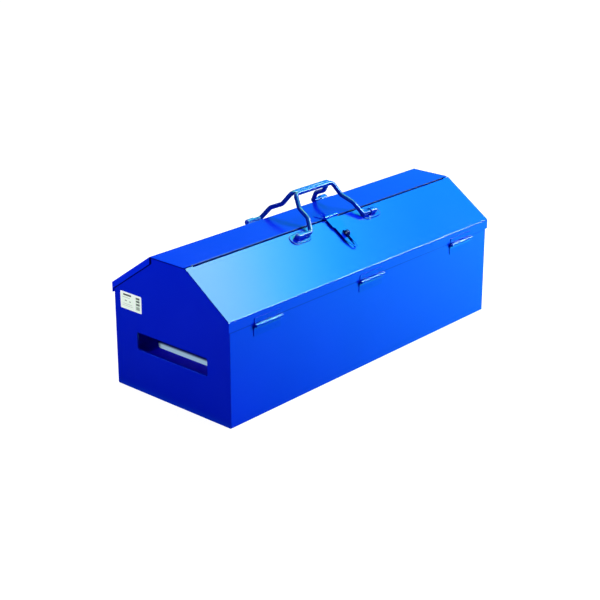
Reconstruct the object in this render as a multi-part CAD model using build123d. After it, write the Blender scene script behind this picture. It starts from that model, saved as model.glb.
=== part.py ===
from build123d import *
import math
import os

# A long steel tool box. A folded trough is closed by two gabled end panels, each with a hand
# hole. Two roof leaves are hinged along the long sides: the front leaf is one slope, the rear
# leaf is the other slope and the flat top. A bent bar handle stands on each leaf, and a hasp
# on the flat top's front edge reaches over a turning staple on the front slope.
# Lengths are in millimetres, angles in degrees. X runs along the box, the front side faces -Y,
# and the origin lies on the floor under the middle of the box.

# Roof leaves
LENGTH = 720.0
DEPTH = 282.0
EAVE_HEIGHT = 189.0
RIDGE_HEIGHT = 258.0
TOP_WIDTH = 84.0
LEAF_SHEET = 0.9
LEAF_BEND = 1.8
RIDGE_BEND = 1.4
FLANGE_HEIGHT = 18.0
LIP_HEIGHT = 8.5
SEAM = 2.2
SKIRT_HEIGHT = 10.0

# Trough and end panels
BODY_SHEET = 0.8
BODY_BEND = 2.2
END_OVERHANG = 3.4
SIDE_OVERHANG = 2.0
ROOF_CLEARANCE = 0.4
WALL_GAP = 5.0
RETURN_WIDTH = 12.0
RIM_WIDTH = 12.0

# Hand holes and the pockets behind them
HOLE_WIDTH = 170.0
HOLE_HEIGHT = 32.0
HOLE_BOTTOM = 78.0
HOLE_CORNER = 2.5
COLLAR_DEPTH = 4.0
COLLAR_ROUND = 0.9
POCKET_DEPTH = 50.0
POCKET_MARGIN = 3.0
POCKET_DROP = 13.0
POCKET_FLANGE = 9.0

# Side hinges
HINGE_INSET = 90.0
HINGE_WIDTH = 64.0
HINGE_SHEET = 1.2
HINGE_DROP = 21.5
BARREL_RADIUS = 3.25
KNUCKLES = 5
WALL_LEAF_HEIGHT = 20.5
LID_LEAF_MARGIN = 9.0
JOGGLE_HEIGHT = 3.5
PIN_RADIUS = 1.5
PIN_HEAD_RADIUS = 2.0
PIN_HEAD_LENGTH = 0.8
KNUCKLE_GAP = 0.35
KNUCKLE_RELIEF = 1.1
RUNNING_CLEARANCE = 0.05

# Handles and their brackets
ROD_RADIUS = 4.25
GRIP_HEIGHT = 306.0
GRIP_GAP = 0.7
GRIP_HALF_LENGTH = 50.0
GRIP_BEND = 9.0
FOOT_BEND = 7.0
LEG_BEND = 12.0
BRACKET_SPACING = 97.0
# The bar's heel and its end, measured inwards and outwards from the bracket's middle
FOOT_HEEL = 25.0
FOOT_TAIL = 8.0
FOOT_CORNER = BRACKET_SPACING - FOOT_HEEL
# Each leg bend: its share of the way from foot to grip, how far it lies inwards of the heel
# and how far it bulges outwards
LEG_BENDS = ((0.336, 9.5, 4.5), (0.657, 14.8, -4.7))
BRACKET_DROP = 18.9
BRACKET_LENGTH = 50.0
BRACKET_WIDTH = 24.0
BRACKET_SHEET = 1.3
SADDLE_START = -6.0
SADDLE_CLEARANCE = 0.1
ROD_LIFT = 0.4

# Hasp and turning staple
HASP_WIDTH = 33.0
HASP_SHEET = 1.2
HASP_REACH = 25.0
HASP_BARREL = 3.4
HASP_OUT = 2.5
STRAP_SHEET = 1.4
STRAP_LIFT = 3.2
STRAP_START = 4.2
STRAP_LENGTH = 75.0
STRAP_SHOULDER = 24.0
STRAP_TAPER = 57.0
STRAP_HALF_WIDTHS = (15.0, 11.5, 4.2)
STAPLE_DROP = 45.0
SLOT_WIDTH = 7.6
SLOT_UP = 9.0
SLOT_DOWN = 28.1
STAPLE_PLATE_WIDTH = 20.0
STAPLE_PLATE_LENGTH = 26.0
STAPLE_PLATE_SHEET = 1.2
BOSS_RADIUS = 6.2
BOSS_WALL = 1.2
STAPLE_GAP = 0.3
NECK_RADIUS = 2.8
FLANGE_RADIUS = 4.4
RING_HALF_LENGTH = 6.3
RING_HEIGHT = 8.2
RING_THICKNESS = 6.0
PADLOCK_HOLE_RADIUS = 2.75
PADLOCK_HOLE_RISE = 4.3

# Blank label on the left end
LABEL_WIDTH = 53.0
LABEL_HEIGHT = 31.0
LABEL_THICKNESS = 0.25
LABEL_CORNER = 2.0
# The label's middle, measured from the rear wall's face and down from the eaves
LABEL_INSET = 41.5
LABEL_DROP = 27.0

# Places worked out from the sizes
PITCH = math.atan2(RIDGE_HEIGHT - EAVE_HEIGHT, (DEPTH - TOP_WIDTH) / 2)
HALF = LENGTH / 2
FLANGE_Y = DEPTH / 2
RIDGE_Y = TOP_WIDTH / 2
END_X = HALF - END_OVERHANG
HINGE_X = HALF - HINGE_INSET
WALL_Y = FLANGE_Y - SIDE_OVERHANG
WALL_TOP = EAVE_HEIGHT - WALL_GAP
LABEL_Y = WALL_Y - LABEL_INSET
LABEL_Z = EAVE_HEIGHT - LABEL_DROP
HINGE_Y = FLANGE_Y + BARREL_RADIUS
HINGE_Z = EAVE_HEIGHT - HINGE_DROP
ROD_AXIS_LIFT = BRACKET_SHEET + ROD_LIFT + ROD_RADIUS
HASP_Y = RIDGE_Y + HASP_OUT
HASP_Z = RIDGE_HEIGHT + HASP_BARREL
BOSS_TOP = STRAP_LIFT - STAPLE_GAP
RING_BASE = STRAP_LIFT + STRAP_SHEET + STAPLE_GAP


def roof_z(y, depth=0.0):
    """Height of the surface that lies a depth under the roof's outer skin at y."""
    slope = RIDGE_HEIGHT - (abs(y) - RIDGE_Y) * math.tan(PITCH) - depth / math.cos(PITCH)
    return min(RIDGE_HEIGHT - depth, slope)


def front_slope(x=0.0, down=0.0):
    """Plane on the front slope: local y climbs to the ridge and local z leaves the sheet."""
    origin = (x, -RIDGE_Y - down * math.cos(PITCH), RIDGE_HEIGHT - down * math.sin(PITCH))
    return Plane(origin=origin, x_dir=(1, 0, 0), z_dir=(0, -math.sin(PITCH), math.cos(PITCH)))


def to_rear(shape):
    """The same piece on the rear side, turned half a turn about the upright axis."""
    return Rot(0, 0, 180) * shape


def across(section, start, end):
    """A solid that runs along X from a section drawn in (y, z)."""
    return extrude(Plane.YZ.offset(start) * section, amount=end - start, dir=(1, 0, 0))


def folded_sheet(points, sheet, bend, inner, start, end):
    """A sheet folded along points of its outer skin in (y, z), running along X."""
    skin = FilletPolyline(*points, radius=bend)
    section = make_face(offset(skin, amount=sheet, side=inner, closed=True))
    return across(section, start, end)


def rod_along_x(radius, start, end, y, z):
    """A round bar along X."""
    return across(Pos(y, z) * Circle(radius), start, end)


def knuckle_spans(width, count, first):
    """Start and end of every second knuckle of a hinge, from the one numbered first."""
    pitch = width / count
    for i in range(first, count, 2):
        yield (i * pitch - width / 2 + KNUCKLE_GAP / 2, (i + 1) * pitch - width / 2 - KNUCKLE_GAP / 2)


def hinge_leaf(plate, width, count, first, barrel, y, z):
    """Rolls the knuckles of one hinge leaf onto its plate and clears the other leaf's."""
    leaf = plate
    for start, end in knuckle_spans(width, count, 1 - first):
        leaf -= rod_along_x(barrel + KNUCKLE_RELIEF, start - KNUCKLE_GAP, end + KNUCKLE_GAP, y, z)
    for start, end in knuckle_spans(width, count, first):
        leaf += rod_along_x(barrel, start, end, y, z)
    bore = rod_along_x(PIN_RADIUS + RUNNING_CLEARANCE, -width, width, y, z)
    return leaf - bore


def hinge_pin(width, y, z):
    """A pin with a low peened head at each end of its barrel."""
    half = (width - KNUCKLE_GAP) / 2
    pin = rod_along_x(PIN_RADIUS, -half, half, y, z)
    for side in (-1, 1):
        head = Cylinder(PIN_HEAD_RADIUS, PIN_HEAD_LENGTH, align=(Align.CENTER, Align.CENTER, Align.MIN))
        head = fillet(head.edges().group_by(Axis.Z)[-1], PIN_HEAD_LENGTH * 0.6)
        pin += Plane(origin=(side * half, y, z), z_dir=(side, 0, 0)) * head
    return pin


def trough():
    """Front wall, bottom and rear wall in one sheet, with its top edges turned in."""
    end = END_X - BODY_SHEET
    points = [(RETURN_WIDTH - WALL_Y, WALL_TOP), (-WALL_Y, WALL_TOP), (-WALL_Y, 0),
              (WALL_Y, 0), (WALL_Y, WALL_TOP), (WALL_Y - RETURN_WIDTH, WALL_TOP)]
    return folded_sheet(points, BODY_SHEET, BODY_BEND, Side.LEFT, -end, end)


def gable_points(depth):
    """Corners of the end panel's outline, from the front eave over the ridges to the rear."""
    ridge = RIDGE_Y - depth * math.tan(PITCH / 2)
    eave = roof_z(WALL_Y, depth)
    top = RIDGE_HEIGHT - depth
    return [(-WALL_Y, eave), (-ridge, top), (ridge, top), (WALL_Y, eave)]


def hand_hole(margin, drop, corner):
    """Outline of the hand hole, larger by a margin all round and deeper by a drop."""
    width = HOLE_WIDTH + 2 * margin
    height = HOLE_HEIGHT + margin + drop
    middle = HOLE_BOTTOM - drop + height / 2
    return Pos(0, middle) * RectangleRounded(width, height, corner)


def end_panel():
    """Right end: a gabled plate with turned-in rims and a rolled edge round its hand hole."""
    inside = END_X - BODY_SHEET
    depth = LEAF_SHEET + ROOF_CLEARANCE
    gable = gable_points(depth)
    outline = make_face(Polyline((-WALL_Y, 0), *gable, (WALL_Y, 0), close=True))
    outline = fillet(outline.vertices(), BODY_BEND)
    panel = across(outline, inside, END_X)
    rim_end = END_X - RIM_WIDTH
    panel += folded_sheet(gable, BODY_SHEET, BODY_BEND, Side.RIGHT, rim_end, END_X)
    fold = WALL_Y - BODY_SHEET
    top = WALL_TOP - BODY_BEND - ROOF_CLEARANCE
    pan = [(-fold, top), (-fold, BODY_SHEET), (fold, BODY_SHEET), (fold, top)]
    panel += folded_sheet(pan, BODY_SHEET, BODY_BEND - BODY_SHEET, Side.LEFT, rim_end, inside)
    collar_outline = hand_hole(BODY_SHEET, BODY_SHEET, HOLE_CORNER + BODY_SHEET)
    panel += across(collar_outline, END_X - COLLAR_DEPTH, END_X)
    panel -= across(hand_hole(0, 0, HOLE_CORNER), rim_end, HALF)
    mouth = panel.faces().sort_by(Axis.X)[-1].inner_wires()[0]
    return fillet(mouth.edges(), COLLAR_ROUND * BODY_SHEET)


def pocket_frame():
    """Right pocket: four walls behind the hand hole, with a flange against the panel."""
    mouth = END_X - BODY_SHEET
    back = mouth - POCKET_DEPTH
    inner = HOLE_CORNER + POCKET_MARGIN
    outer = inner + BODY_SHEET
    walls = across(hand_hole(POCKET_MARGIN + BODY_SHEET, POCKET_DROP + BODY_SHEET, outer), back, mouth)
    reach = POCKET_MARGIN + POCKET_FLANGE
    walls += across(hand_hole(reach, POCKET_DROP + POCKET_FLANGE, outer), mouth - BODY_SHEET, mouth)
    return walls - across(hand_hole(POCKET_MARGIN, POCKET_DROP, inner), back, mouth)


def pocket_back():
    """Right pocket's back plate, over the ends of its four walls."""
    front = END_X - BODY_SHEET - POCKET_DEPTH
    outer = HOLE_CORNER + POCKET_MARGIN + BODY_SHEET
    outline = hand_hole(POCKET_MARGIN + BODY_SHEET, POCKET_DROP + BODY_SHEET, outer)
    return across(outline, front - BODY_SHEET, front)


def roof_leaf(points, bends, inner):
    """A roof leaf folded along points; its last edge, the lip, stops short of the end panels."""
    lip_end = END_X - RIM_WIDTH - LEAF_SHEET
    leaf = folded_sheet(points, LEAF_SHEET, bends, inner, -lip_end, lip_end)
    for start, end in ((-HALF, -lip_end), (lip_end, HALF)):
        leaf += folded_sheet(points[:-1], LEAF_SHEET, bends[:-1], inner, start, end)
    return leaf


def front_leaf():
    """Front roof leaf: a flange over the wall, the slope, and a lip at the ridge."""
    edge = RIDGE_Y + SEAM / 2
    points = [(-FLANGE_Y, EAVE_HEIGHT - FLANGE_HEIGHT), (-FLANGE_Y, EAVE_HEIGHT),
              (-edge, roof_z(edge)), (-edge, roof_z(edge) - LIP_HEIGHT)]
    return roof_leaf(points, [LEAF_BEND, RIDGE_BEND], Side.RIGHT)


def rear_leaf():
    """Rear roof leaf: flange, slope, flat top with a front lip, and a skirt at each end."""
    edge = -RIDGE_Y + SEAM / 2
    points = [(FLANGE_Y, EAVE_HEIGHT - FLANGE_HEIGHT), (FLANGE_Y, EAVE_HEIGHT), (RIDGE_Y, RIDGE_HEIGHT),
              (edge, RIDGE_HEIGHT), (edge, RIDGE_HEIGHT - LIP_HEIGHT)]
    leaf = roof_leaf(points, [LEAF_BEND, LEAF_BEND, LEAF_BEND], Side.LEFT)
    top_end = RIDGE_Y + LEAF_BEND
    eave_end = FLANGE_Y - LEAF_SHEET / 2
    skirt = make_face(Polyline((top_end, roof_z(top_end, LEAF_SHEET / 2)),
                               (eave_end, roof_z(eave_end, LEAF_SHEET / 2)),
                               (eave_end, roof_z(eave_end, SKIRT_HEIGHT)),
                               (top_end, roof_z(top_end, SKIRT_HEIGHT)), close=True))
    for start in (-HALF, HALF - LEAF_SHEET):
        leaf += across(skirt, start, start + LEAF_SHEET)
    return leaf


def side_hinge():
    """Front hinge at the middle of the box: wall leaf, lid leaf and pin."""
    out = HINGE_SHEET
    foot = HINGE_Z - WALL_LEAF_HEIGHT
    bend_end = HINGE_Z - BARREL_RADIUS - KNUCKLE_RELIEF
    points = [(-WALL_Y - out, foot), (-WALL_Y - out, bend_end - JOGGLE_HEIGHT),
              (-FLANGE_Y - out, bend_end), (-FLANGE_Y - out, HINGE_Z)]
    half = HINGE_WIDTH / 2
    wall_plate = folded_sheet(points, HINGE_SHEET, HINGE_SHEET, Side.RIGHT, -half, half)
    wall_plate = fillet(wall_plate.edges().filter_by(Axis.Y).group_by(Axis.Z)[0], 2 * HINGE_SHEET)
    height = EAVE_HEIGHT - LID_LEAF_MARGIN - HINGE_Z
    section = Pos(-FLANGE_Y - out / 2, HINGE_Z + height / 2) * Rectangle(out, height)
    lid_plate = across(section, -half, half)
    lid_plate = fillet(lid_plate.edges().filter_by(Axis.Y).group_by(Axis.Z)[-1], 2 * HINGE_SHEET)
    wall_leaf = hinge_leaf(wall_plate, HINGE_WIDTH, KNUCKLES, 0, BARREL_RADIUS, -HINGE_Y, HINGE_Z)
    lid_leaf = hinge_leaf(lid_plate, HINGE_WIDTH, KNUCKLES, 1, BARREL_RADIUS, -HINGE_Y, HINGE_Z)
    return wall_leaf, lid_leaf, hinge_pin(HINGE_WIDTH, -HINGE_Y, HINGE_Z)


def handle_axis():
    """Point (y, z) of the front handle's turning axis."""
    spot = front_slope(0, BRACKET_DROP).from_local_coords((0, 0, ROD_AXIS_LIFT))
    return spot.Y, spot.Z


def front_handle():
    """Round bar bent from foot to foot: two joggled legs and a straight grip."""
    axis_y, axis_z = handle_axis()
    grip_y = -ROD_RADIUS - GRIP_GAP / 2
    rise_y, rise_z = grip_y - axis_y, GRIP_HEIGHT - axis_z
    reach = math.hypot(rise_y, rise_z)
    leg = [(BRACKET_SPACING + FOOT_TAIL, axis_y, axis_z), (FOOT_CORNER, axis_y, axis_z)]
    for share, inset, bulge in LEG_BENDS:
        y = axis_y + share * rise_y - bulge * rise_z / reach
        z = axis_z + share * rise_z + bulge * rise_y / reach
        leg.append((FOOT_CORNER - inset, y, z))
    leg.append((GRIP_HALF_LENGTH, grip_y, GRIP_HEIGHT))
    points = leg + [(-x, y, z) for x, y, z in reversed(leg)]
    bends = [FOOT_BEND] + [LEG_BEND] * len(LEG_BENDS) + [GRIP_BEND]
    path = FilletPolyline(*points, radius=bends + bends[::-1])
    bar = sweep(Plane(origin=path @ 0, z_dir=path % 0) * Circle(ROD_RADIUS), path=path)
    ends = bar.faces().sort_by(Axis.X)
    return fillet(ends[0].edges() + ends[-1].edges(), ROD_RADIUS / 4)


def bracket():
    """Handle bracket in its own place: an oval plate and a saddle that ends in a dome."""
    bore = ROD_RADIUS + SADDLE_CLEARANCE
    outer = bore + BRACKET_SHEET
    end = FOOT_TAIL + ROD_LIFT
    length = end - SADDLE_START
    middle = SADDLE_START + length / 2
    lift = ROD_AXIS_LIFT
    plate = extrude(SlotOverall(BRACKET_LENGTH, BRACKET_WIDTH), amount=BRACKET_SHEET)
    plate = fillet(plate.edges().group_by(Axis.Z)[-1], BRACKET_SHEET / 2)
    upright = (Align.CENTER, Align.CENTER, Align.MIN)
    saddle = Pos(middle, 0, lift) * Rot(0, 90, 0) * Cylinder(outer, length)
    saddle += Pos(middle, 0, 0) * Box(length, 2 * outer, lift, align=upright)
    saddle += Pos(end, 0, 0) * Cylinder(outer, lift, align=upright)
    saddle += Pos(end, 0, lift) * Sphere(outer)
    tunnel = Pos(middle, 0, lift) * Rot(0, 90, 0) * Cylinder(bore, length)
    height = lift - BRACKET_SHEET
    tunnel += Pos(middle, 0, BRACKET_SHEET) * Box(length, 2 * bore, height, align=upright)
    return plate + saddle - tunnel


def place_bracket(side):
    """Front bracket on the left (-1) or right (1), its dome towards the box's end."""
    turned = bracket() if side > 0 else Rot(0, 0, 180) * bracket()
    return front_slope(side * BRACKET_SPACING, BRACKET_DROP) * turned


def hasp_top_leaf():
    """Hasp's fixed leaf on the flat top, with two knuckles over the ridge."""
    length = HASP_REACH + HASP_OUT
    section = Pos(length / 2 - HASP_Y, RIDGE_HEIGHT + HASP_SHEET / 2) * Rectangle(length, HASP_SHEET)
    plate = across(section, -HASP_WIDTH / 2, HASP_WIDTH / 2)
    plate = fillet(plate.edges().filter_by(Axis.Z).group_by(Axis.Y)[-1], 3 * HASP_SHEET)
    return hinge_leaf(plate, HASP_WIDTH, 3, 0, HASP_BARREL, -HASP_Y, HASP_Z)


def hasp_strap():
    """Hasp's strap down the front slope: shoulders, a slot for the staple, a tapered tip."""
    wide, narrow, tip = STRAP_HALF_WIDTHS
    step = STRAP_SHOULDER + wide - narrow
    right = [(wide, -STRAP_START), (wide, -STRAP_SHOULDER), (narrow, -step),
             (narrow, -STRAP_TAPER), (tip, -STRAP_LENGTH)]
    left = [(-x, y) for x, y in reversed(right)]
    outline = make_face(Polyline(*right, *left, close=True))
    outline = fillet(outline.vertices(), STRAP_SHEET)
    slot_length = SLOT_UP + SLOT_DOWN
    slot_middle = -STAPLE_DROP - (SLOT_DOWN - SLOT_UP) / 2
    outline -= Pos(0, slot_middle) * Rot(0, 0, 90) * SlotOverall(slot_length, SLOT_WIDTH)
    knuckle = HASP_WIDTH / 3 - KNUCKLE_GAP
    outline += Pos(0, -STRAP_START) * Rectangle(knuckle, 2 * STRAP_START)
    sheet = front_slope() * Pos(0, 0, STRAP_LIFT) * extrude(outline, amount=STRAP_SHEET)
    strap = sheet + rod_along_x(HASP_BARREL, -knuckle / 2, knuckle / 2, -HASP_Y, HASP_Z)
    return strap - rod_along_x(PIN_RADIUS + RUNNING_CLEARANCE, -HASP_WIDTH, HASP_WIDTH, -HASP_Y, HASP_Z)


def staple_plate():
    """Staple's base plate on the front slope, with a hollow boss for its foot."""
    upright = (Align.CENTER, Align.CENTER, Align.MIN)
    plate = extrude(RectangleRounded(STAPLE_PLATE_WIDTH, STAPLE_PLATE_LENGTH, 3 * STAPLE_PLATE_SHEET),
                    amount=STAPLE_PLATE_SHEET)
    plate += Cylinder(BOSS_RADIUS, BOSS_TOP, align=upright)
    plate -= Cylinder(BOSS_RADIUS - BOSS_WALL, BOSS_TOP - BOSS_WALL, align=upright)
    plate -= Cylinder(NECK_RADIUS + RUNNING_CLEARANCE, BOSS_TOP, align=upright)
    return front_slope(0, STAPLE_DROP) * plate


def staple_ring():
    """Turning staple: a foot inside the boss, a round neck, and a flat ring for a padlock."""
    upright = (Align.CENTER, Align.CENTER, Align.MIN)
    foot = BOSS_TOP - BOSS_WALL - 2 * STAPLE_GAP
    turned = Pos(0, 0, STAPLE_GAP) * Cylinder(FLANGE_RADIUS, foot, align=upright)
    turned += Pos(0, 0, STAPLE_GAP) * Cylinder(NECK_RADIUS, RING_BASE, align=upright)
    ring = Ellipse(RING_HALF_LENGTH, RING_HEIGHT)
    ring &= Pos(0, RING_HEIGHT / 2) * Rectangle(2 * RING_HALF_LENGTH, RING_HEIGHT)
    ring -= Pos(0, PADLOCK_HOLE_RISE) * Circle(PADLOCK_HOLE_RADIUS)
    head = extrude(Plane.YZ * ring, amount=RING_THICKNESS / 2, both=True)
    turned += Pos(0, 0, RING_BASE) * head
    return front_slope(0, STAPLE_DROP) * turned


def label():
    """Blank label on the left end panel."""
    outline = Pos(LABEL_Y, LABEL_Z) * RectangleRounded(LABEL_WIDTH, LABEL_HEIGHT, LABEL_CORNER)
    return across(outline, -END_X - LABEL_THICKNESS, -END_X)


def tool_box():
    """Every piece of the box by its name."""
    pieces = {"body_trough": trough(), "right_end_panel": end_panel()}
    pieces["right_hand_pocket"] = pocket_frame()
    pieces["right_pocket_back"] = pocket_back()
    for part in ("end_panel", "hand_pocket", "pocket_back"):
        pieces["left_" + part] = to_rear(pieces["right_" + part])
    pieces["front_lid"] = front_leaf()
    pieces["rear_lid"] = rear_leaf()
    for side, place in ((-1, "left"), (0, "middle"), (1, "right")):
        for part, shape in zip(("wall_leaf", "lid_leaf", "pin"), side_hinge()):
            pieces[f"front_{place}_hinge_{part}"] = Pos(side * HINGE_X, 0, 0) * shape
            pieces[f"rear_{place}_hinge_{part}"] = Pos(side * HINGE_X, 0, 0) * to_rear(shape)
    for side, place, opposite in ((-1, "left", "right"), (1, "right", "left")):
        pieces[f"front_{place}_bracket"] = place_bracket(side)
        pieces[f"rear_{opposite}_bracket"] = to_rear(place_bracket(side))
    pieces["front_handle"] = front_handle()
    pieces["rear_handle"] = to_rear(front_handle())
    pieces["hasp_top_leaf"] = hasp_top_leaf()
    pieces["hasp_strap"] = hasp_strap()
    pieces["hasp_pin"] = hinge_pin(HASP_WIDTH, -HASP_Y, HASP_Z)
    pieces["staple_plate"] = staple_plate()
    pieces["staple_ring"] = staple_ring()
    pieces["blank_label"] = label()
    return pieces


os.makedirs("parts", exist_ok=True)
for name, piece in tool_box().items():
    export_step(piece, f"parts/{name}.step")
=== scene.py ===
"""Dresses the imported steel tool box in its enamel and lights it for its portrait."""

from __future__ import annotations

import logging
import math
from collections.abc import Iterable
from dataclasses import dataclass, field, replace
from enum import Enum

import bmesh
import bpy
from mathutils import Matrix, Vector

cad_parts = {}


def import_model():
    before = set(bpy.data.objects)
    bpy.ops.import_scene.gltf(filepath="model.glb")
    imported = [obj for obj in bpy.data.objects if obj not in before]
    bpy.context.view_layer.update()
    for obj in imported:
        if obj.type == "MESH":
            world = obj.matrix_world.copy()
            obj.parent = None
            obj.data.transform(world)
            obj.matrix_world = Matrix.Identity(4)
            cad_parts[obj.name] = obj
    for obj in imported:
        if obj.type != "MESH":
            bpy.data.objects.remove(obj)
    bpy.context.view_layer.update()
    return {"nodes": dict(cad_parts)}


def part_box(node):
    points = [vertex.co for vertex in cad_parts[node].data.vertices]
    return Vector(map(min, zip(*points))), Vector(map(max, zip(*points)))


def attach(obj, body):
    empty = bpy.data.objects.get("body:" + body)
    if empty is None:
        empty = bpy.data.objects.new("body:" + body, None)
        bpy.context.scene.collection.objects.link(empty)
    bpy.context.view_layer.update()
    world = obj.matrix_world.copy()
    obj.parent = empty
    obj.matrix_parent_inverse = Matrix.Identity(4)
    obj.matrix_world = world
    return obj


LOG = logging.getLogger("tool_box")
Colour = tuple[float, float, float, float]
Triple = tuple[float, float, float]
Stop = tuple[float, float, float, float]
NUMBER = "NodeSocketFloat"
VECTOR = "NodeSocketVector"
WHITE = (1.0, 1.0, 1.0, 1.0)
PEEL_DETAIL = 2.0
DRIFT_DETAIL = 3.0
DUST_EDGE = 0.16
DUST_CORE = 0.05


class Body(str, Enum):
    """The bodies that the fine marks ride on."""

    BOX = "box"
    FRONT_LID = "front_lid"
    REAR_LID = "rear_lid"


class Side(str, Enum):
    """The two long sides of the tool box."""

    FRONT = "front"
    REAR = "rear"

    @property
    def facing(self) -> int:
        """The side's direction along Y."""
        return -1 if self is Side.FRONT else 1

    @property
    def lid(self) -> Body:
        """The roof leaf of this side."""
        return Body.FRONT_LID if self is Side.FRONT else Body.REAR_LID


class HingePart(str, Enum):
    """The two leaves of a hinge."""

    WALL_LEAF = "wall_leaf"
    LID_LEAF = "lid_leaf"


class PaintedShadeKind(Enum):
    """Where a dark line of painted shade lies on a sheet, in place of the shade in seams and under overhangs."""

    NONE = "none"
    SEAM = "seam"
    OVERHANG = "overhang"
    EAVE = "eave"


class Wiring:
    """Adds nodes to one shader tree and joins their sockets."""

    def __init__(self, tree: bpy.types.NodeTree) -> None:
        """Takes a shader tree and empties it."""
        self.tree = tree
        tree.nodes.clear()

    def add(self, kind: str, **settings: object) -> bpy.types.Node:
        """Adds one node.

        Args:
            kind: The node type's name after "ShaderNode".
            settings: Values of the node's own properties.

        Returns:
            The new node.
        """
        node = self.tree.nodes.new(f"ShaderNode{kind}")
        for name, value in settings.items():
            setattr(node, name, value)
        return node

    def feed(self, node: bpy.types.Node, **values: object) -> bpy.types.Node:
        """Gives input sockets a value or a link.

        Args:
            node: The node whose inputs are set.
            values: Socket names, with an underscore for each space, and what goes in.

        Returns:
            The same node.
        """
        for name, value in values.items():
            key = int(name[1:]) if name[0] == "_" else name.replace("_", " ")
            socket = node.inputs[key]
            if isinstance(value, bpy.types.NodeSocket):
                self.tree.links.new(value, socket)
            else:
                socket.default_value = value
        return node

    def maths(self, operation: str, *values: object) -> bpy.types.NodeSocket:
        """Adds a Math node that takes numbers or sockets in order, and gives its result."""
        node = self.add("Math", operation=operation)
        return self.feed(node, **{f"_{i}": value for i, value in enumerate(values)}).outputs[0]

    def blend(self, factor: object, low: object, high: object) -> bpy.types.NodeSocket:
        """Adds a mix of two colours, the low one where the factor is 0 and the high one where it is 1."""
        node = self.add("Mix", data_type="RGBA")
        return self.feed(node, _0=factor, _6=low, _7=high).outputs[2]


def blank_material(name: str) -> tuple[bpy.types.Material, Wiring]:
    """Starts a material with an empty tree.

    Args:
        name: The material's name.

    Returns:
        The material and its wiring.
    """
    material = bpy.data.materials.new(name)
    material.use_nodes = True
    return material, Wiring(material.node_tree)


def linked_object(name: str, mesh: bmesh.types.BMesh, material: bpy.types.Material) -> bpy.types.Object:
    """Makes a bmesh into an object of the scene and frees the bmesh.

    Args:
        name: The object's name.
        mesh: Its shape, in metres.
        material: Its only material.

    Returns:
        The new object.
    """
    data = bpy.data.meshes.new(name)
    mesh.to_mesh(data)
    mesh.free()
    data.materials.append(material)
    made = bpy.data.objects.new(name, data)
    bpy.context.scene.collection.objects.link(made)
    return made


def shader_group(name: str, inputs: dict[str, str], outputs: dict[str, str]) -> tuple[Wiring, dict, dict]:
    """Starts a node group that several finishes share.

    Args:
        name: The group's name.
        inputs: Input names with their socket types.
        outputs: Output names with their socket types.

    Returns:
        The group's wiring, its input sockets and its output sockets by name.
    """
    tree = bpy.data.node_groups.new(name, "ShaderNodeTree")
    wiring = Wiring(tree)
    for way, sockets in (("INPUT", inputs), ("OUTPUT", outputs)):
        for label, kind in sockets.items():
            tree.interface.new_socket(label, in_out=way, socket_type=kind)
    source = tree.nodes.new("NodeGroupInput")
    target = tree.nodes.new("NodeGroupOutput")
    return wiring, {n: source.outputs[n] for n in inputs}, {n: target.inputs[n] for n in outputs}


def enamel_texture() -> bpy.types.NodeTree:
    """The texture of a sprayed coat: fine orange peel, slow drift of shade, and dust specks.

    Returns:
        The node group, with the outputs Peel, Drift and Dust.
    """
    wiring, given, result = shader_group(
        "enamel_texture",
        {"Vector": VECTOR, "Peel Scale": NUMBER, "Drift Scale": NUMBER},
        {"Peel": NUMBER, "Drift": NUMBER, "Dust": NUMBER},
    )
    peel = wiring.feed(wiring.add("TexNoise"), Vector=given["Vector"], Scale=given["Peel Scale"], Detail=PEEL_DETAIL)
    drift = wiring.feed(wiring.add("TexNoise"), Vector=given["Vector"], Scale=given["Drift Scale"],
                        Detail=DRIFT_DETAIL)
    specks = wiring.feed(wiring.add("TexVoronoi"), Vector=given["Vector"], Scale=given["Peel Scale"])
    dust = wiring.add("MapRange", interpolation_type="SMOOTHSTEP")
    wiring.feed(dust, Value=specks.outputs["Distance"], From_Min=DUST_EDGE, From_Max=DUST_CORE)
    links = wiring.tree.links
    links.new(peel.outputs["Fac"], result["Peel"])
    links.new(drift.outputs["Fac"], result["Drift"])
    links.new(dust.outputs["Result"], result["Dust"])
    return wiring.tree


def printed_cell() -> bpy.types.NodeTree:
    """A mask that is 1 inside one upright rectangle in the plane of Y and Z.

    Returns:
        The node group, with the output Mask.
    """
    wiring, given, result = shader_group(
        "printed_cell",
        {"Vector": VECTOR, "Y": NUMBER, "Z": NUMBER, "Half Width": NUMBER, "Half Height": NUMBER},
        {"Mask": NUMBER},
    )
    parts = wiring.feed(wiring.add("SeparateXYZ"), Vector=given["Vector"])
    across = wiring.maths("COMPARE", parts.outputs["Y"], given["Y"], given["Half Width"])
    upright = wiring.maths("COMPARE", parts.outputs["Z"], given["Z"], given["Half Height"])
    wiring.tree.links.new(wiring.maths("MULTIPLY", across, upright), result["Mask"])
    return wiring.tree


def beyond_plane() -> bpy.types.NodeTree:
    """A mask that is 1 beyond a plane, with a soft edge of the given width centred on the plane.

    Returns:
        The node group, with the output Mask.
    """
    wiring, given, result = shader_group(
        "beyond_plane",
        {"Vector": VECTOR, "Normal": VECTOR, "Offset": NUMBER, "Softness": NUMBER},
        {"Mask": NUMBER},
    )
    reach = wiring.feed(wiring.add("VectorMath", operation="DOT_PRODUCT"), _0=given["Vector"], _1=given["Normal"])
    past = wiring.maths("SUBTRACT", reach.outputs["Value"], given["Offset"])
    share = wiring.maths("DIVIDE", past, given["Softness"])
    mask = wiring.add("MapRange", interpolation_type="SMOOTHSTEP")
    wiring.feed(mask, Value=share, From_Min=-0.5, From_Max=0.5)
    wiring.tree.links.new(mask.outputs["Result"], result["Mask"])
    return wiring.tree


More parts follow.
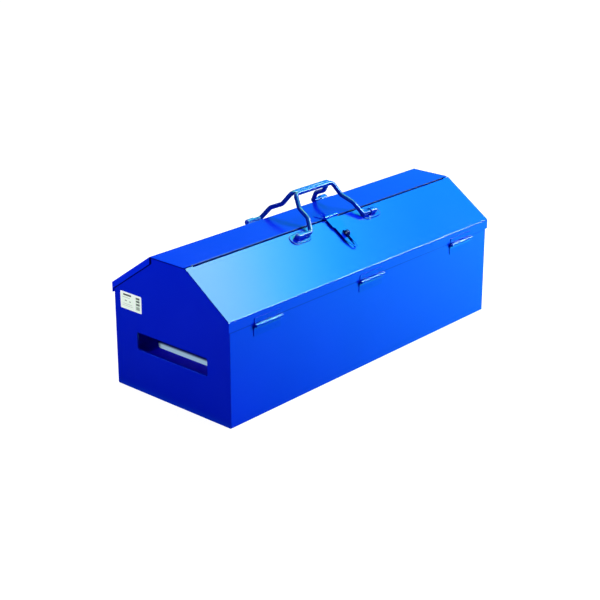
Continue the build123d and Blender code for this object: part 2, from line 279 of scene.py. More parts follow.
@dataclass(frozen=True)
class PaintedShadeLine:
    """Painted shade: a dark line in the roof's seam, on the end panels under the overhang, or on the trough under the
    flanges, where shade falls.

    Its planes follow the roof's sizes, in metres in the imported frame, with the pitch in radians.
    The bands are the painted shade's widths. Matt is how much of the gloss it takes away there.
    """

    kind: PaintedShadeKind = PaintedShadeKind.NONE
    shade: Colour = (0.0001, 0.002, 0.12, 1.0)
    top_half: float = 0.042
    ridge: float = 0.258
    pitch: float = 0.6089
    lip_face: float = 0.0396
    lip_bend: float = 0.0001
    top_band: float = 0.0043
    front_band: float = 0.0057
    rear_band: float = 0.0112
    flange_foot: float = 0.171
    flange_band: float = 0.0026
    wall_skin: float = 0.1384
    matt: float = 0.46
    softness: float = 0.0005

    def planes(self) -> tuple[tuple[Triple, float], ...]:
        """Finds the planes that bound the painted shade.

        Returns:
            Each plane's normal and offset, in the order that mask() takes them.
        """
        if self.kind is PaintedShadeKind.SEAM:
            return (((0.0, -1.0, 0.0), self.lip_face), ((0.0, 0.0, -1.0), self.lip_bend - self.ridge))
        if self.kind is PaintedShadeKind.EAVE:
            return (((0.0, 0.0, 1.0), self.flange_foot - self.flange_band),
                    ((0.0, 0.0, -1.0), -self.flange_foot - 2 * self.softness),
                    ((0.0, -1.0, 0.0), self.wall_skin), ((0.0, 1.0, 0.0), self.wall_skin))
        sine, cosine = math.sin(self.pitch), math.cos(self.pitch)
        skin = self.ridge * cosine + self.top_half * sine
        return (((0.0, 0.0, 1.0), self.ridge - self.top_band),
                ((0.0, -sine, cosine), skin - self.front_band),
                ((0.0, sine, cosine), skin - self.rear_band),
                ((0.0, 1.0, 0.0), self.top_half))

    def mask(self, wiring: Wiring, place: bpy.types.NodeSocket, plane_group: bpy.types.NodeTree,
             ) -> bpy.types.NodeSocket:
        """Adds the painted shade's mask to a material.

        Args:
            wiring: The material's wiring.
            place: The place on the piece, in object coordinates.
            plane_group: The beyond-plane group.

        Returns:
            A number that is 1 in the painted shade.
        """
        parts = [wiring.feed(wiring.add("Group", node_tree=plane_group), Vector=place, Normal=normal,
                             Offset=offset, Softness=self.softness).outputs["Mask"]
                 for normal, offset in self.planes()]
        if self.kind is PaintedShadeKind.SEAM:
            return wiring.maths("MULTIPLY", *parts)
        if self.kind is PaintedShadeKind.EAVE:
            low, high, fore, aft = parts
            outside = wiring.maths("MAXIMUM", fore, aft)
            return wiring.maths("MULTIPLY", wiring.maths("MULTIPLY", low, high), outside)
        top, front, rear, behind_ridge = parts
        under_skirt = wiring.maths("MULTIPLY", rear, behind_ridge)
        return wiring.maths("MAXIMUM", wiring.maths("MAXIMUM", top, front), under_skirt)


@dataclass(frozen=True)
class EnamelFinish:
    """Stoved blue enamel on steel.

    The dark and light shades drift slowly over the sheet. The clear gloss is tinted, as on a
    deep blue paint, and the peel is the faint orange-skin ripple of a sprayed coat.
    """

    name: str
    dark: Colour
    light: Colour
    gloss_tint: Colour
    roughness: float
    peel_scale: float
    peel_depth: float = 0.00004
    refraction: float = 1.5
    # Painted shade: an optional dark line with less gloss, where shade falls on the sheet.
    painted_shade: PaintedShadeLine = PaintedShadeLine()
    drift_scale: float = 6.0
    dust_roughness: float = 0.08
    peel_strength: float = 0.25
    sheen: float = 0.5
    drift_span: tuple[float, float] = (0.3, 0.7)
    roughness_span: tuple[float, float] = (-0.02, 0.03)

    def make(self, texture: bpy.types.NodeTree, plane_group: bpy.types.NodeTree) -> bpy.types.Material:
        """Builds the material.

        Args:
            texture: The enamel texture group.
            plane_group: The beyond-plane group, which bounds the grime.

        Returns:
            The finished material.
        """
        material, wiring = blank_material(self.name)
        place = wiring.add("TexCoord").outputs["Object"]
        skin = wiring.feed(wiring.add("Group", node_tree=texture), Vector=place,
                           Peel_Scale=self.peel_scale, Drift_Scale=self.drift_scale)
        colour = wiring.blend(skin.outputs["Drift"], self.dark, self.light)
        rough = wiring.add("MapRange")
        wiring.feed(rough, Value=skin.outputs["Drift"], From_Min=self.drift_span[0], From_Max=self.drift_span[1],
                    To_Min=self.roughness + self.roughness_span[0], To_Max=self.roughness + self.roughness_span[1])
        dusty = wiring.maths("MULTIPLY_ADD", skin.outputs["Dust"], self.dust_roughness, rough.outputs["Result"])
        sheen = self.sheen
        # Painted shade: inside the mask the colour darkens to the line's shade and the gloss is dimmed.
        if self.painted_shade.kind is not PaintedShadeKind.NONE:
            in_painted_shade = self.painted_shade.mask(wiring, place, plane_group)
            colour = wiring.blend(in_painted_shade, colour, self.painted_shade.shade)
            sheen = wiring.maths("MULTIPLY_ADD", in_painted_shade, -self.painted_shade.matt, self.sheen)
        bump = wiring.feed(wiring.add("Bump"), Height=skin.outputs["Peel"], Strength=self.peel_strength,
                           Distance=self.peel_depth)
        shader = wiring.add("BsdfPrincipled")
        wiring.feed(shader, Base_Color=colour, Roughness=dusty, Normal=bump.outputs["Normal"], IOR=self.refraction,
                    Specular_IOR_Level=sheen, Specular_Tint=self.gloss_tint)
        wiring.feed(wiring.add("OutputMaterial"), Surface=shader.outputs[0])
        return material


@dataclass(frozen=True)
class ZincFinish:
    """Bright zinc plate with a faint rolling grain, and dark navy painted shade on its upper part, under the hand
    hole's upper lip.
    """

    name: str
    dark: Colour
    light: Colour
    roughness: float
    painted_top_shade: Colour = (0.0002, 0.004, 0.12, 1.0)
    painted_top_shade_from: float = 0.0735
    painted_top_shade_softness: float = 0.0055
    grain_scale: float = 900.0
    grain_stretch: Triple = (1.0, 0.04, 1.0)
    grain_detail: float = 3.0
    grain_roughness: float = 0.12
    grain_strength: float = 0.2
    grain_depth: float = 0.0001
    cloud_scale: float = 25.0
    fleck_scale: float = 500.0
    metal: float = 0.1

    def make(self, texture: bpy.types.NodeTree, plane_group: bpy.types.NodeTree) -> bpy.types.Material:
        """Builds the material.

        Args:
            texture: The enamel texture group, used here for the plate's cloudiness.
            plane_group: The beyond-plane group, which bounds the painted shade.

        Returns:
            The finished material.
        """
        material, wiring = blank_material(self.name)
        place = wiring.add("TexCoord").outputs["Object"]
        stretch = wiring.feed(wiring.add("Mapping"), Vector=place, Scale=self.grain_stretch)
        grain = wiring.feed(wiring.add("TexNoise"), Vector=stretch.outputs["Vector"], Scale=self.grain_scale,
                            Detail=self.grain_detail)
        cloud = wiring.feed(wiring.add("Group", node_tree=texture), Vector=place, Peel_Scale=self.fleck_scale,
                            Drift_Scale=self.cloud_scale)
        bare = wiring.blend(cloud.outputs["Drift"], self.dark, self.light)
        # Painted shade: the plate turns dark navy above this height, where the hand hole's upper lip shades it.
        painted_top_shade = wiring.feed(wiring.add("Group", node_tree=plane_group), Vector=place, Normal=(0.0, 0.0, 1.0),
                            Offset=self.painted_top_shade_from, Softness=self.painted_top_shade_softness)
        colour = wiring.blend(painted_top_shade.outputs["Mask"], bare, self.painted_top_shade)
        rough = wiring.maths("MULTIPLY_ADD", grain.outputs["Fac"], self.grain_roughness, self.roughness)
        bump = wiring.feed(wiring.add("Bump"), Height=grain.outputs["Fac"], Strength=self.grain_strength,
                           Distance=self.grain_depth)
        shader = wiring.add("BsdfPrincipled")
        wiring.feed(shader, Base_Color=colour, Roughness=rough, Normal=bump.outputs["Normal"],
                    Metallic=self.metal)
        wiring.feed(wiring.add("OutputMaterial"), Surface=shader.outputs[0])
        return material


@dataclass(frozen=True)
class Cell:
    """One printed rectangle on the label, in shares of the label from its rear lower corner."""

    across: float
    up: float
    width: float
    height: float
    ink: Colour


@dataclass(frozen=True)
class LabelFinish:
    """Matt film with a few generic printed cells, and no words."""

    name: str
    film: Colour
    cells: tuple[Cell, ...]
    fibre_scale: float = 1400.0
    fibre_detail: float = 2.0
    fibre_shade: float = 0.03
    fibre_strength: float = 0.15
    fibre_depth: float = 0.0001
    roughness: float = 0.55

    def make(self, cell_group: bpy.types.NodeTree, low: Vector, high: Vector) -> bpy.types.Material:
        """Builds the material.

        Args:
            cell_group: The printed cell group.
            low: The label's lowest corner.
            high: The label's highest corner.

        Returns:
            The finished material.
        """
        material, wiring = blank_material(self.name)
        place = wiring.add("TexCoord").outputs["Object"]
        fibre = wiring.feed(wiring.add("TexNoise"), Vector=place, Scale=self.fibre_scale, Detail=self.fibre_detail)
        paper = [max(0.0, c - self.fibre_shade) for c in self.film[:3]] + [1.0]
        colour = wiring.blend(fibre.outputs["Fac"], paper, self.film)
        size = high - low
        for cell in self.cells:
            mask = wiring.feed(wiring.add("Group", node_tree=cell_group), Vector=place,
                               Y=high.y - cell.across * size.y, Z=low.z + cell.up * size.z,
                               Half_Width=cell.width * size.y / 2, Half_Height=cell.height * size.z / 2)
            colour = wiring.blend(mask.outputs["Mask"], colour, cell.ink)
        bump = wiring.feed(wiring.add("Bump"), Height=fibre.outputs["Fac"], Strength=self.fibre_strength,
                           Distance=self.fibre_depth)
        shader = wiring.add("BsdfPrincipled")
        wiring.feed(shader, Base_Color=colour, Roughness=self.roughness, Normal=bump.outputs["Normal"])
        wiring.feed(wiring.add("OutputMaterial"), Surface=shader.outputs[0])
        return material


def ink(shade: float, green: float = 0.0) -> Colour:
    """A grey printing ink, with a little more green where the film is tinted."""
    return (shade, min(1.0, shade + green), shade, 1.0)


LABEL_CELLS = (
    Cell(0.34, 0.47, 0.60, 0.86, ink(0.86, 0.12)),
    Cell(0.82, 0.47, 0.26, 0.86, ink(0.80, 0.14)),
    Cell(0.33, 0.84, 0.38, 0.10, ink(0.05)),
    Cell(0.28, 0.68, 0.36, 0.03, ink(0.42, 0.05)),
    Cell(0.26, 0.50, 0.10, 0.06, ink(0.25, 0.03)),
    Cell(0.46, 0.48, 0.08, 0.05, ink(0.25, 0.03)),
    Cell(0.34, 0.30, 0.44, 0.02, ink(0.42, 0.05)),
    Cell(0.34, 0.20, 0.50, 0.02, ink(0.42, 0.05)),
    Cell(0.83, 0.82, 0.17, 0.11, ink(0.10, 0.02)),
    Cell(0.83, 0.65, 0.17, 0.11, ink(0.12, 0.02)),
    Cell(0.83, 0.47, 0.17, 0.12, ink(0.14, 0.02)),
    Cell(0.83, 0.25, 0.17, 0.20, ink(0.36, 0.08)),
)
SHEET_ENAMEL = EnamelFinish(
    name="sheet_enamel", dark=(0.0001, 0.011, 0.62, 1.0), light=(0.0002, 0.016, 0.72, 1.0),
    gloss_tint=(0.3, 0.9, 1.0, 1.0), roughness=0.17, peel_scale=420.0)
ENAMELS = (
    SHEET_ENAMEL,
    # The rear leaf's lip in the roof's seam gets a painted shade line with less gloss.
    replace(SHEET_ENAMEL, name="leaf_enamel", painted_shade=PaintedShadeLine(PaintedShadeKind.SEAM)),
    # The trough gets a faint painted shadow line under the side flanges, with a little less gloss.
    replace(SHEET_ENAMEL, name="trough_enamel",
            painted_shade=PaintedShadeLine(PaintedShadeKind.EAVE, shade=(0.0001, 0.006, 0.42, 1.0), matt=0.22)),
    # The end panels get a darker copy of the sheet enamel, painted shade for ends that face away from the lamps, and
    # a painted shadow line under the roof's overhang and skirt.
    replace(SHEET_ENAMEL, name="shaded_panel_enamel", dark=(0.0001, 0.007, 0.49, 1.0), light=(0.0002, 0.010, 0.56, 1.0),
            painted_shade=PaintedShadeLine(PaintedShadeKind.OVERHANG)),
    EnamelFinish(name="fitting_enamel", dark=(0.0001, 0.010, 0.56, 1.0), light=(0.0002, 0.015, 0.66, 1.0),
                 gloss_tint=(0.15, 0.9, 1.0, 1.0), roughness=0.11, peel_scale=700.0),
    EnamelFinish(name="bracket_enamel", dark=(0.0001, 0.007, 0.40, 1.0), light=(0.0002, 0.010, 0.48, 1.0),
                 gloss_tint=(0.3, 0.8, 1.0, 1.0), roughness=0.1, peel_scale=700.0, refraction=1.52),
    EnamelFinish(name="bar_enamel", dark=(0.0002, 0.006, 0.27, 1.0), light=(0.0004, 0.010, 0.35, 1.0),
                 gloss_tint=(0.04, 0.42, 1.0, 1.0), roughness=0.09, peel_scale=600.0, refraction=1.62),
    # The hand pocket's walls get a darker, purpler and matter copy of the enamel: painted shade for the inside of the
    # recess.
    EnamelFinish(name="shaded_pocket_enamel", dark=(0.002, 0.0006, 0.42, 1.0), light=(0.003, 0.0008, 0.50, 1.0),
                 gloss_tint=(0.2, 0.1, 1.0, 1.0), roughness=0.45, peel_scale=420.0, peel_depth=0.0001,
                 refraction=1.08),
    EnamelFinish(name="staple_enamel", dark=(0.0001, 0.003, 0.09, 1.0), light=(0.0002, 0.005, 0.12, 1.0),
                 gloss_tint=(0.05, 0.3, 1.0, 1.0), roughness=0.35, peel_scale=600.0, refraction=1.25),
)
ZINC = ZincFinish(name="zinc_plate", dark=(0.56, 0.90, 1.0, 1.0), light=(0.66, 0.96, 1.0, 1.0), roughness=0.42)
LABEL = LabelFinish(name="label_film", film=(0.95, 1.0, 0.97, 1.0), cells=LABEL_CELLS)
FINISH_BY_WORD = (
    ("blank_label", LABEL.name),
    ("pocket_back", ZINC.name),
    ("hand_pocket", "shaded_pocket_enamel"),
    ("_handle", "bar_enamel"),
    ("staple", "staple_enamel"),
    ("bracket", "bracket_enamel"),
    ("hinge", "fitting_enamel"),
    ("hasp", "fitting_enamel"),
    ("end_panel", "shaded_panel_enamel"),
    ("body_trough", "trough_enamel"),
    ("rear_lid", "leaf_enamel"),
)


@dataclass
class Finishes:
    """All finishes of the tool box, made once and then put on its pieces."""

    made: dict[str, bpy.types.Material] = field(default_factory=dict)

    def make(self) -> None:
        """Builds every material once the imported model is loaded."""
        texture = enamel_texture()
        plane_group = beyond_plane()
        for finish in (*ENAMELS, ZINC):
            self.made[finish.name] = finish.make(texture, plane_group)
        low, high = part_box("blank_label")
        self.made[LABEL.name] = LABEL.make(printed_cell(), low, high)

    def for_node(self, name: str) -> bpy.types.Material:
        """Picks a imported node's finish by the first word of the list that its name holds."""
        return self.made[next((finish for word, finish in FINISH_BY_WORD if word in name), SHEET_ENAMEL.name)]

    def dress(self, nodes: dict[str, bpy.types.Object]) -> None:
        """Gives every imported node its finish.

        Args:
            nodes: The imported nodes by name.
        """
        for name, node in nodes.items():
            node.data.materials.clear()
            node.data.materials.append(self.for_node(name))
            LOG.info("%s: packed, in %s", name, node.data.materials[0].name)


@dataclass(frozen=True)
class Spot:
    """A place on a surface that runs along X: its centre and its outward normal."""

    centre: Triple
    normal: Triple

    def matrix(self) -> Matrix:
        """Finds how a shape comes here from the origin, where it faces +Z.

        Returns:
            The matrix that carries it.
        """
        up = Vector(self.normal).normalized()
        side = Vector((1.0, 0.0, 0.0))
        turn = Matrix((side, up.cross(side), up)).transposed().to_4x4()
        return Matrix.Translation(Vector(self.centre)) @ turn


def finished_piece(name: str, mesh: bmesh.types.BMesh, material: bpy.types.Material, body: Body) -> None:
    """Makes a bmesh into a named piece of the tool box.

    Args:
        name: The piece's name.
        mesh: Its shape, in place, in metres.
        material: Its finish.
        body: The body that it rides on.
    """
    bmesh.ops.recalc_face_normals(mesh, faces=mesh.faces)
    piece = linked_object(name, mesh, material)
    piece.data.shade_smooth()
    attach(piece, body.value)
    LOG.info("%s: %d faces, on %s", name, len(piece.data.polygons), body.value)


@dataclass
class WeldMarks:
    """Round spot-weld marks: a shallow dish inside a low raised ring.

    Each ring inwards is a share of the radius, then of the rise and of the dish for its height.
    """

    radius: float = 0.0026
    rise: float = 0.00018
    dish: float = 0.00012
    segments: int = 28
    rings: tuple[Triple, ...] = ((0.9, 0.7, 0.0), (0.78, 1.0, 0.0), (0.62, 0.5, 0.0), (0.4, 0.5, -0.4),
                                 (0.15, 0.5, -0.5))

    def press(self, mesh: bmesh.types.BMesh, spot: Spot) -> None:
        """Adds one mark.

        Args:
            mesh: The mesh that collects the marks.
            spot: Where the mark lies.
        """
        disc = bmesh.ops.create_circle(mesh, cap_ends=True, segments=self.segments, radius=self.radius)
        made = list(disc["verts"])
        face = made[0].link_faces[0]
        before = 1.0
        for share, lift, sink in self.rings:
            inset = bmesh.ops.inset_region(mesh, faces=[face], thickness=(before - share) * self.radius,
                                           use_boundary=True, use_even_offset=True)
            made += [v for f in inset["faces"] for v in f.verts if v not in made]
            height = self.rise * lift + self.dish * sink
            bmesh.ops.translate(mesh, verts=face.verts, vec=(0.0, 0.0, height - face.verts[0].co.z))
            before = share
        bmesh.ops.transform(mesh, matrix=spot.matrix(), verts=list(set(made) | set(face.verts)))


@dataclass
class BracketRim:
    """The pressed rim round each handle bracket's oval base plate.

    Towards the handle's heel its height fades to the heel's share. A face whose normal rises less
    than the limit counts as upright, and the middle gap tells the circle's halves apart.
    """

    length: float = 0.0494
    width: float = 0.0234
    band: float = 0.0022
    rise: float = 0.0009
    heel_share: float = 0.35
    fade_from: float = 0.0155
    fade_span: float = 0.006
    segments: int = 40
    edge_share: float = 0.5
    edge_segments: int = 3
    upright_limit: float = 0.5
    middle_gap: float = 1e-6

    def press(self, mesh: bmesh.types.BMesh, spot: Spot, heel: float) -> None:
        """Adds one rim, which runs low under the handle's heel.

        Args:
            mesh: The mesh that collects the rims.
            spot: The middle of the base plate's upper face.
            heel: The heel's end of the plate, 1 towards +X and -1 towards -X.
        """
        disc = bmesh.ops.create_circle(mesh, cap_ends=True, segments=self.segments, radius=self.width / 2)
        verts = list(disc["verts"])
        reach = (self.length - self.width) / 2
        for sign in (-1.0, 1.0):
            half = [v for v in verts if v.co.x * sign > self.middle_gap]
            bmesh.ops.translate(mesh, verts=half, vec=(sign * reach, 0.0, 0.0))
        face = verts[0].link_faces[0]
        ring = bmesh.ops.inset_region(mesh, faces=[face], thickness=self.band, use_boundary=True,
                                      use_even_offset=True)["faces"]
        inner = list(face.verts)
        bmesh.ops.delete(mesh, geom=[face], context="FACES_ONLY")
        grown = bmesh.ops.extrude_face_region(mesh, geom=ring)["geom"]
        top = [v for v in grown if isinstance(v, bmesh.types.BMVert)]
        bmesh.ops.translate(mesh, verts=top, vec=(0.0, 0.0, self.rise))
        upper = [e for e in mesh.edges if all(v in top for v in e.verts) and len(e.link_faces) == 2
                 and any(abs(f.normal.z) < self.upright_limit for f in e.link_faces)]
        rounded = bmesh.ops.bevel(mesh, geom=upper, offset=self.rise * self.edge_share,
                                  segments=self.edge_segments, profile=0.5, affect="EDGES", material=-1)
        made = [v for v in set(verts) | set(inner) | set(top) | set(rounded["verts"]) if v.is_valid]
        for vert in made:
            fade = min(max((vert.co.x * heel - self.fade_from) / self.fade_span, 0.0), 1.0)
            vert.co.z *= 1.0 - fade * (1.0 - self.heel_share)
        bmesh.ops.transform(mesh, matrix=spot.matrix(), verts=made)


@dataclass
class RoofPlace:
    """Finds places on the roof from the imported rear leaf's box and the ridge's rise over the eave."""

    top_half: float = 0.042
    rise: float = 0.069
    ridge: float = 0.0
    pitch: float = 0.0

    def measure(self) -> None:
        """Reads the ridge height and works out the pitch."""
        _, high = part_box("rear_lid")
        self.ridge = high[2]
        eave = high[1]
        self.pitch = math.atan2(self.rise, eave - self.top_half)

    def on_slope(self, side: Side, along: float, down: float, lift: float) -> Spot:
        """Finds a place on a roof slope.

        Args:
            side: The slope's side.
            along: X of the place.
            down: Distance down the slope from the ridge.
            lift: Distance out of the sheet.

        Returns:
            The place, facing out of the slope.
        """
        sine, cosine = math.sin(self.pitch), math.cos(self.pitch)
        y = side.facing * (self.top_half + down * cosine + lift * sine)
        return Spot((along, y, self.ridge - down * sine + lift * cosine), (0.0, side.facing * sine, cosine))


@dataclass
class FittingMarks:
    """Weld marks and pressed rims on the brackets, hinge leaves, hasp leaf and staple plate.

    A sheet is how far a fitting's outer face stands out of the roof, and a face is how far a hinge
    leaf's outer face lies from the middle. The marks are set along X, down a slope or along Y.
    """

    roof: RoofPlace
    finishes: Finishes
    weld: WeldMarks = field(default_factory=WeldMarks)
    rim: BracketRim = field(default_factory=BracketRim)
    ends: tuple[float, float] = (-1.0, 1.0)
    bracket_x: float = 0.097
    bracket_down: float = 0.0189
    bracket_sheet: float = 0.0013
    bracket_mark_x: float = 0.0085
    bracket_mark_down: float = 0.0084
    rim_sunk: float = 0.0001
    wall_leaf_face: float = 0.1402
    wall_leaf_mark_up: float = 0.0055
    lid_leaf_face: float = 0.1422
    lid_leaf_mark_down: float = 0.0045
    hinge_marks_x: tuple[float, ...] = (-0.022, 0.0, 0.022)
    plate_sheet: float = 0.0012
    staple_marks_x: tuple[float, ...] = (-0.0068, 0.0068)
    staple_marks_down: tuple[float, ...] = (0.0355, 0.0545)
    hasp_marks_x: tuple[float, ...] = (-0.0105, 0.0, 0.0105)
    hasp_marks_y: tuple[float, ...] = (-0.0225, -0.0335)

    def bracket_rims(self, side: Side) -> None:
        """Presses the rims on both brackets of one leaf, each in a fresh mesh so that runs agree.

        Args:
            side: The leaf's side.
        """
        both = bmesh.new()
        for end in self.ends:
            mesh = bmesh.new()
            self.rim.press(mesh, self.roof.on_slope(side, end * self.bracket_x, self.bracket_down,
                                                    self.bracket_sheet - self.rim_sunk), -end)
            data = bpy.data.meshes.new("one_rim")
            mesh.to_mesh(data)
            mesh.free()
            both.from_mesh(data)
            bpy.data.meshes.remove(data)
        finished_piece(f"{side.lid.value}_bracket_rims", both, self.finishes.made["bracket_enamel"], side.lid)

    def bracket_welds(self, mesh: bmesh.types.BMesh, side: Side) -> None:
        """Presses weld marks beside both saddles of one leaf.

        Args:
            mesh: The mesh that collects the marks.
            side: The leaf's side.
        """
        for end in self.ends:
            for along in (-self.bracket_mark_x, self.bracket_mark_x):
                for down in (-self.bracket_mark_down, self.bracket_mark_down):
                    self.weld.press(mesh, self.roof.on_slope(side, end * self.bracket_x + along,
                                                             self.bracket_down + down, self.bracket_sheet))

    def hinge_welds(self, mesh: bmesh.types.BMesh, side: Side, part: HingePart) -> None:
        """Presses a row of weld marks on the hinge leaves of one side.

        Args:
            mesh: The mesh that collects the marks.
            side: The hinges' side.
            part: Which of their leaves.
        """
        for place in ("left", "middle", "right"):
            low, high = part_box(f"{side.value}_{place}_hinge_{part.value}")
            middle = (low[0] + high[0]) / 2
            if part is HingePart.WALL_LEAF:
                height, face = low[2] + self.wall_leaf_mark_up, self.wall_leaf_face
            else:
                height, face = high[2] - self.lid_leaf_mark_down, self.lid_leaf_face
            for along in self.hinge_marks_x:
                self.weld.press(mesh, Spot((middle + along, side.facing * face, height), (0.0, side.facing, 0.0)))

    def plate_welds(self, mesh: bmesh.types.BMesh, side: Side) -> None:
        """Presses weld marks on the staple's plate in front, or on the hasp's leaf on the flat top.

        Args:
            mesh: The mesh that collects the marks.
            side: The leaf's side.
        """
        if side is Side.FRONT:
            spots = [self.roof.on_slope(side, along, down, self.plate_sheet)
                     for along in self.staple_marks_x for down in self.staple_marks_down]
        else:
            spots = [Spot((along, y, self.roof.ridge + self.plate_sheet), (0.0, 0.0, 1.0))
                     for along in self.hasp_marks_x for y in self.hasp_marks_y]
        for spot in spots:
            self.weld.press(mesh, spot)

    def build(self) -> None:
        """Builds the marks of every body."""
        enamel = self.finishes.made["fitting_enamel"]
        marks = bmesh.new()
        for side in Side:
            self.hinge_welds(marks, side, HingePart.WALL_LEAF)
        finished_piece("box_weld_marks", marks, enamel, Body.BOX)
        for side in Side:
            marks = bmesh.new()
            self.hinge_welds(marks, side, HingePart.LID_LEAF)
            self.bracket_welds(marks, side)
            self.plate_welds(marks, side)
            finished_piece(f"{side.lid.value}_weld_marks", marks, enamel, side.lid)
        for side in Side:
            self.bracket_rims(side)


@dataclass(frozen=True)
class SoftBox:
    """One soft studio lamp, aimed at a point on the tool box."""

    name: str
    place: Triple
    aim: Triple
    width: float
    height: float
    power: float

    def hang(self) -> None:
        """Adds the lamp to the scene, unseen by the camera and by the gloss."""
        lamp = bpy.data.lights.new(self.name, "AREA")
        lamp.shape = "RECTANGLE"
        lamp.size = self.width
        lamp.size_y = self.height
        lamp.energy = self.power
        holder = bpy.data.objects.new(self.name, lamp)
        holder.location = self.place
        holder.rotation_euler = (Vector(self.aim) - Vector(self.place)).to_track_quat("-Z", "Y").to_euler()
        holder.visible_camera = False
        holder.visible_glossy = False
        bpy.context.scene.collection.objects.link(holder)


@dataclass(frozen=True)
class Card:
    """A coloured reflector card that shows only in the gloss, as a studio hangs it.

    Its glow runs along X through stops: an X, and the red, green and blue there.
    """

    name: str
    place: Triple
    facing: Triple
    width: float
    height: float
    stops: tuple[Stop, ...]

    def paint(self) -> bpy.types.Material:
        """Builds the card's glowing finish.

        Returns:
            The finished material.
        """
        material, wiring = blank_material(self.name)
        place = wiring.feed(wiring.add("SeparateXYZ"), Vector=wiring.add("TexCoord").outputs["Object"])
        colour = (*self.stops[0][1:], 1.0)
        for (start, *_), (end, *shade) in zip(self.stops, self.stops[1:]):
            share = wiring.feed(wiring.add("MapRange"), Value=place.outputs["X"], From_Min=start, From_Max=end)
            colour = wiring.blend(share.outputs["Result"], colour, (*shade, 1.0))
        glow = wiring.feed(wiring.add("Emission"), Color=colour, Strength=1.0)
        wiring.feed(wiring.add("OutputMaterial"), Surface=glow.outputs[0])
        return material

    def hang(self) -> None:
        """Adds the card to the scene."""
        mesh = bmesh.new()
        bmesh.ops.create_grid(mesh, x_segments=1, y_segments=1, size=0.5)
        bmesh.ops.scale(mesh, vec=(self.width, self.height, 1.0), verts=mesh.verts)
        turn = Vector(self.facing).to_track_quat("Z", "Y").to_matrix().to_4x4()
        bmesh.ops.transform(mesh, matrix=Matrix.Translation(Vector(self.place)) @ turn, verts=mesh.verts)
        card = linked_object(self.name, mesh, self.paint())
        card.visible_camera = False
        card.visible_diffuse = False
        card.visible_shadow = False


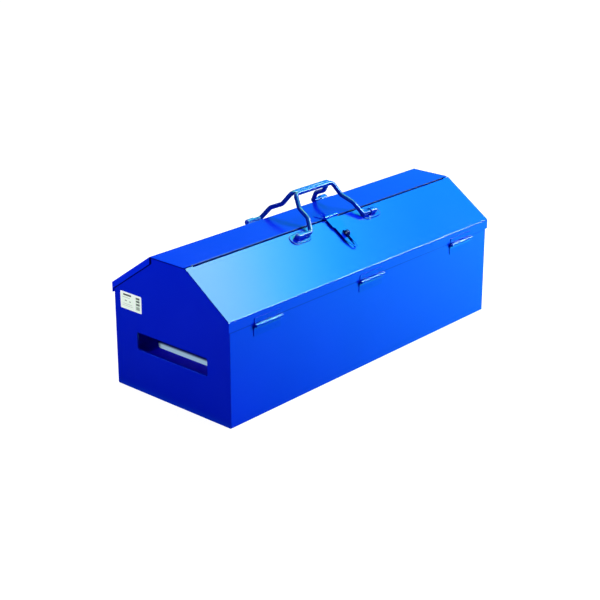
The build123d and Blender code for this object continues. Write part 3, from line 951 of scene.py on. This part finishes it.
@dataclass
class Studio:
    """White floor, white surroundings, soft lamps and reflector cards."""

    floor_size: float = 14.0
    floor_colour: Colour = (0.32, 0.32, 0.32, 1.0)
    floor_glow: float = 0.86
    white_from: float = 0.9
    white_beyond: float = 2.4
    surround: Colour = (0.86, 0.93, 1.0, 1.0)
    surround_level: float = 0.12
    lamps: tuple[SoftBox, ...] = (
        SoftBox("key_lamp", place=(1.15, 1.6, 1.85), aim=(0.0, 0.0, 0.2), width=0.7, height=0.7, power=30.0),
        SoftBox("roof_lamp", place=(0.95, 0.3, 2.05), aim=(-0.2, 0.0, 0.2), width=1.1, height=1.1, power=22.0),
        SoftBox("front_lamp", place=(1.0, -1.95, 1.4), aim=(0.0, -0.14, 0.12), width=1.2, height=0.8, power=81.0),
        SoftBox("end_lamp", place=(-1.0, 0.1, 0.47), aim=(-0.36, 0.0, 0.12), width=0.14, height=0.14, power=3.9),
    )
    cards: tuple[Card, ...] = (
        Card("roof_card", place=(1.9, -0.3, 1.75), facing=(0.0, 0.0, -1.0), width=4.0, height=2.6,
             stops=((1.02, 10.4, 12.4, 1.2), (1.24, 2.6, 10.2, 3.8), (1.38, 1.0, 8.8, 6.0), (1.55, 0.35, 6.4, 6.0),
                    (1.79, 0.2, 4.5, 6.0), (2.05, 0.1, 3.5, 6.0))),
        Card("rear_card", place=(2.3, 2.05, 1.25), facing=(-0.7, -0.65, -0.3), width=4.2, height=2.4,
             stops=((1.6, 0.01, 0.2, 0.8), (2.9, 0.035, 0.75, 1.3))),
        Card("outer_floor_card", place=(0.0, 0.0, 0.0003), facing=(0.0, 0.0, 1.0), width=8.0, height=8.0,
             stops=((0.0, 0.0, 0.03, 0.25),)),
        Card("floor_card", place=(0.0, -0.1, 0.0008), facing=(0.0, 0.0, 1.0), width=8.0, height=0.9,
             stops=((-0.37, 0.0, 0.01, 0.15), (-0.35, 0.02, 0.31, 0.6), (0.9, 0.2, 3.2, 4.0))),
        Card("left_card", place=(-2.3, 2.6, 1.3), facing=(0.65, -0.75, -0.3), width=3.6, height=2.6,
             stops=((0.0, 0.0, 0.03, 0.15),)),
        Card("right_card", place=(2.7, -2.3, 0.9), facing=(-0.75, 0.65, -0.1), width=3.0, height=1.8,
             stops=((0.0, 0.0, 0.05, 0.2),)),
        Card("lip_card", place=(-1.13, 1.51, 1.76), facing=(0.32, -0.63, -0.7), width=0.8, height=0.8,
             stops=((0.0, 1.0, 3.0, 12.0),)),
        Card("camera_card", place=(-3.6, -3.2, 1.9), facing=(1.0, 0.9, -0.35), width=5.0, height=3.4,
             stops=((0.0, 0.0, 0.03, 0.15),)),
        Card("strip_card", place=(1.7, -1.14, 1.17), facing=(0.0, 0.7, -0.7), width=2.0, height=0.3,
             stops=((0.0, 90.0, 70.0, 52.0),)),
    )

    def seen(self, wiring: Wiring) -> bpy.types.NodeSocket:
        """Adds a mask of the rays that see the white surroundings.

        Args:
            wiring: The tree that uses the mask.

        Returns:
            A number that is 1 on camera, glossy and transmission rays.
        """
        path = wiring.add("LightPath").outputs
        shiny = wiring.maths("MAXIMUM", path["Is Glossy Ray"], path["Is Transmission Ray"])
        return wiring.maths("MAXIMUM", path["Is Camera Ray"], shiny)

    def lay_floor(self) -> None:
        """Lays the pale floor."""
        mesh = bmesh.new()
        bmesh.ops.create_grid(mesh, x_segments=1, y_segments=1, size=self.floor_size / 2)
        material, wiring = blank_material("pale_floor")
        matt = wiring.feed(wiring.add("BsdfDiffuse"), Color=self.floor_colour)
        reach = wiring.feed(wiring.add("VectorMath", operation="LENGTH"), _0=wiring.add("TexCoord").outputs["Object"])
        paling = wiring.add("MapRange", interpolation_type="SMOOTHSTEP")
        wiring.feed(paling, Value=reach.outputs["Value"], From_Min=self.white_from, From_Max=self.white_beyond,
                    To_Min=self.floor_glow, To_Max=1.0)
        level = wiring.maths("MULTIPLY", self.seen(wiring), paling.outputs["Result"])
        glow = wiring.feed(wiring.add("Emission"), Strength=level)
        both = wiring.feed(wiring.add("AddShader"), _0=matt.outputs[0], _1=glow.outputs[0])
        wiring.feed(wiring.add("OutputMaterial"), Surface=both.outputs[0])
        floor = linked_object("floor", mesh, material)

    def surround_scene(self) -> None:
        """Makes the surroundings white to the camera and a soft fill on the box."""
        world = bpy.data.worlds.new("studio")
        bpy.context.scene.world = world
        world.use_nodes = True
        wiring = Wiring(world.node_tree)
        seen = self.seen(wiring)
        fill = wiring.feed(wiring.add("Background"), Color=self.surround, Strength=self.surround_level)
        white = wiring.feed(wiring.add("Background"), Color=WHITE, Strength=1.0)
        mixed = wiring.feed(wiring.add("MixShader"), _0=seen, _1=fill.outputs[0], _2=white.outputs[0])
        wiring.feed(wiring.add("OutputWorld"), Surface=mixed.outputs[0])

    def build(self) -> None:
        """Sets up the whole studio."""
        self.lay_floor()
        self.surround_scene()
        for card in self.cards:
            card.hang()
        for lamp in self.lamps:
            lamp.hang()


@dataclass(frozen=True)
class PortraitCamera:
    """The camera at the photograph's viewing angle, with its angles in radians."""

    place: Triple = (-1.8214, -1.5983, 1.0287)
    azimuth: float = -0.8416
    elevation: float = 0.3274
    lens: float = 83.72
    sensor: float = 36.0
    shift_up: float = -0.1

    def set_up(self) -> None:
        """Adds the camera and makes it the scene's own."""
        data = bpy.data.cameras.new("portrait_camera")
        data.lens = self.lens
        data.sensor_width = self.sensor
        data.shift_y = self.shift_up
        camera = bpy.data.objects.new("portrait_camera", data)
        back = Vector((math.sin(self.azimuth) * math.cos(self.elevation),
                       -math.cos(self.azimuth) * math.cos(self.elevation), math.sin(self.elevation)))
        right = Vector((0.0, 0.0, 1.0)).cross(back).normalized()
        turn = Matrix((right, back.cross(right), back)).transposed().to_4x4()
        camera.matrix_world = Matrix.Translation(Vector(self.place)) @ turn
        bpy.context.scene.collection.objects.link(camera)
        bpy.context.scene.camera = camera


def main() -> None:
    """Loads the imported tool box, dresses it and sets up its portrait."""
    logging.basicConfig(level=logging.INFO, format="%(message)s")
    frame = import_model()
    bpy.context.scene.view_settings.view_transform = "Standard"
    finishes = Finishes()
    finishes.make()
    finishes.dress(frame["nodes"])
    roof = RoofPlace()
    roof.measure()
    FittingMarks(roof, finishes).build()
    Studio().build()
    PortraitCamera().set_up()


if __name__ == "__main__":
    main()
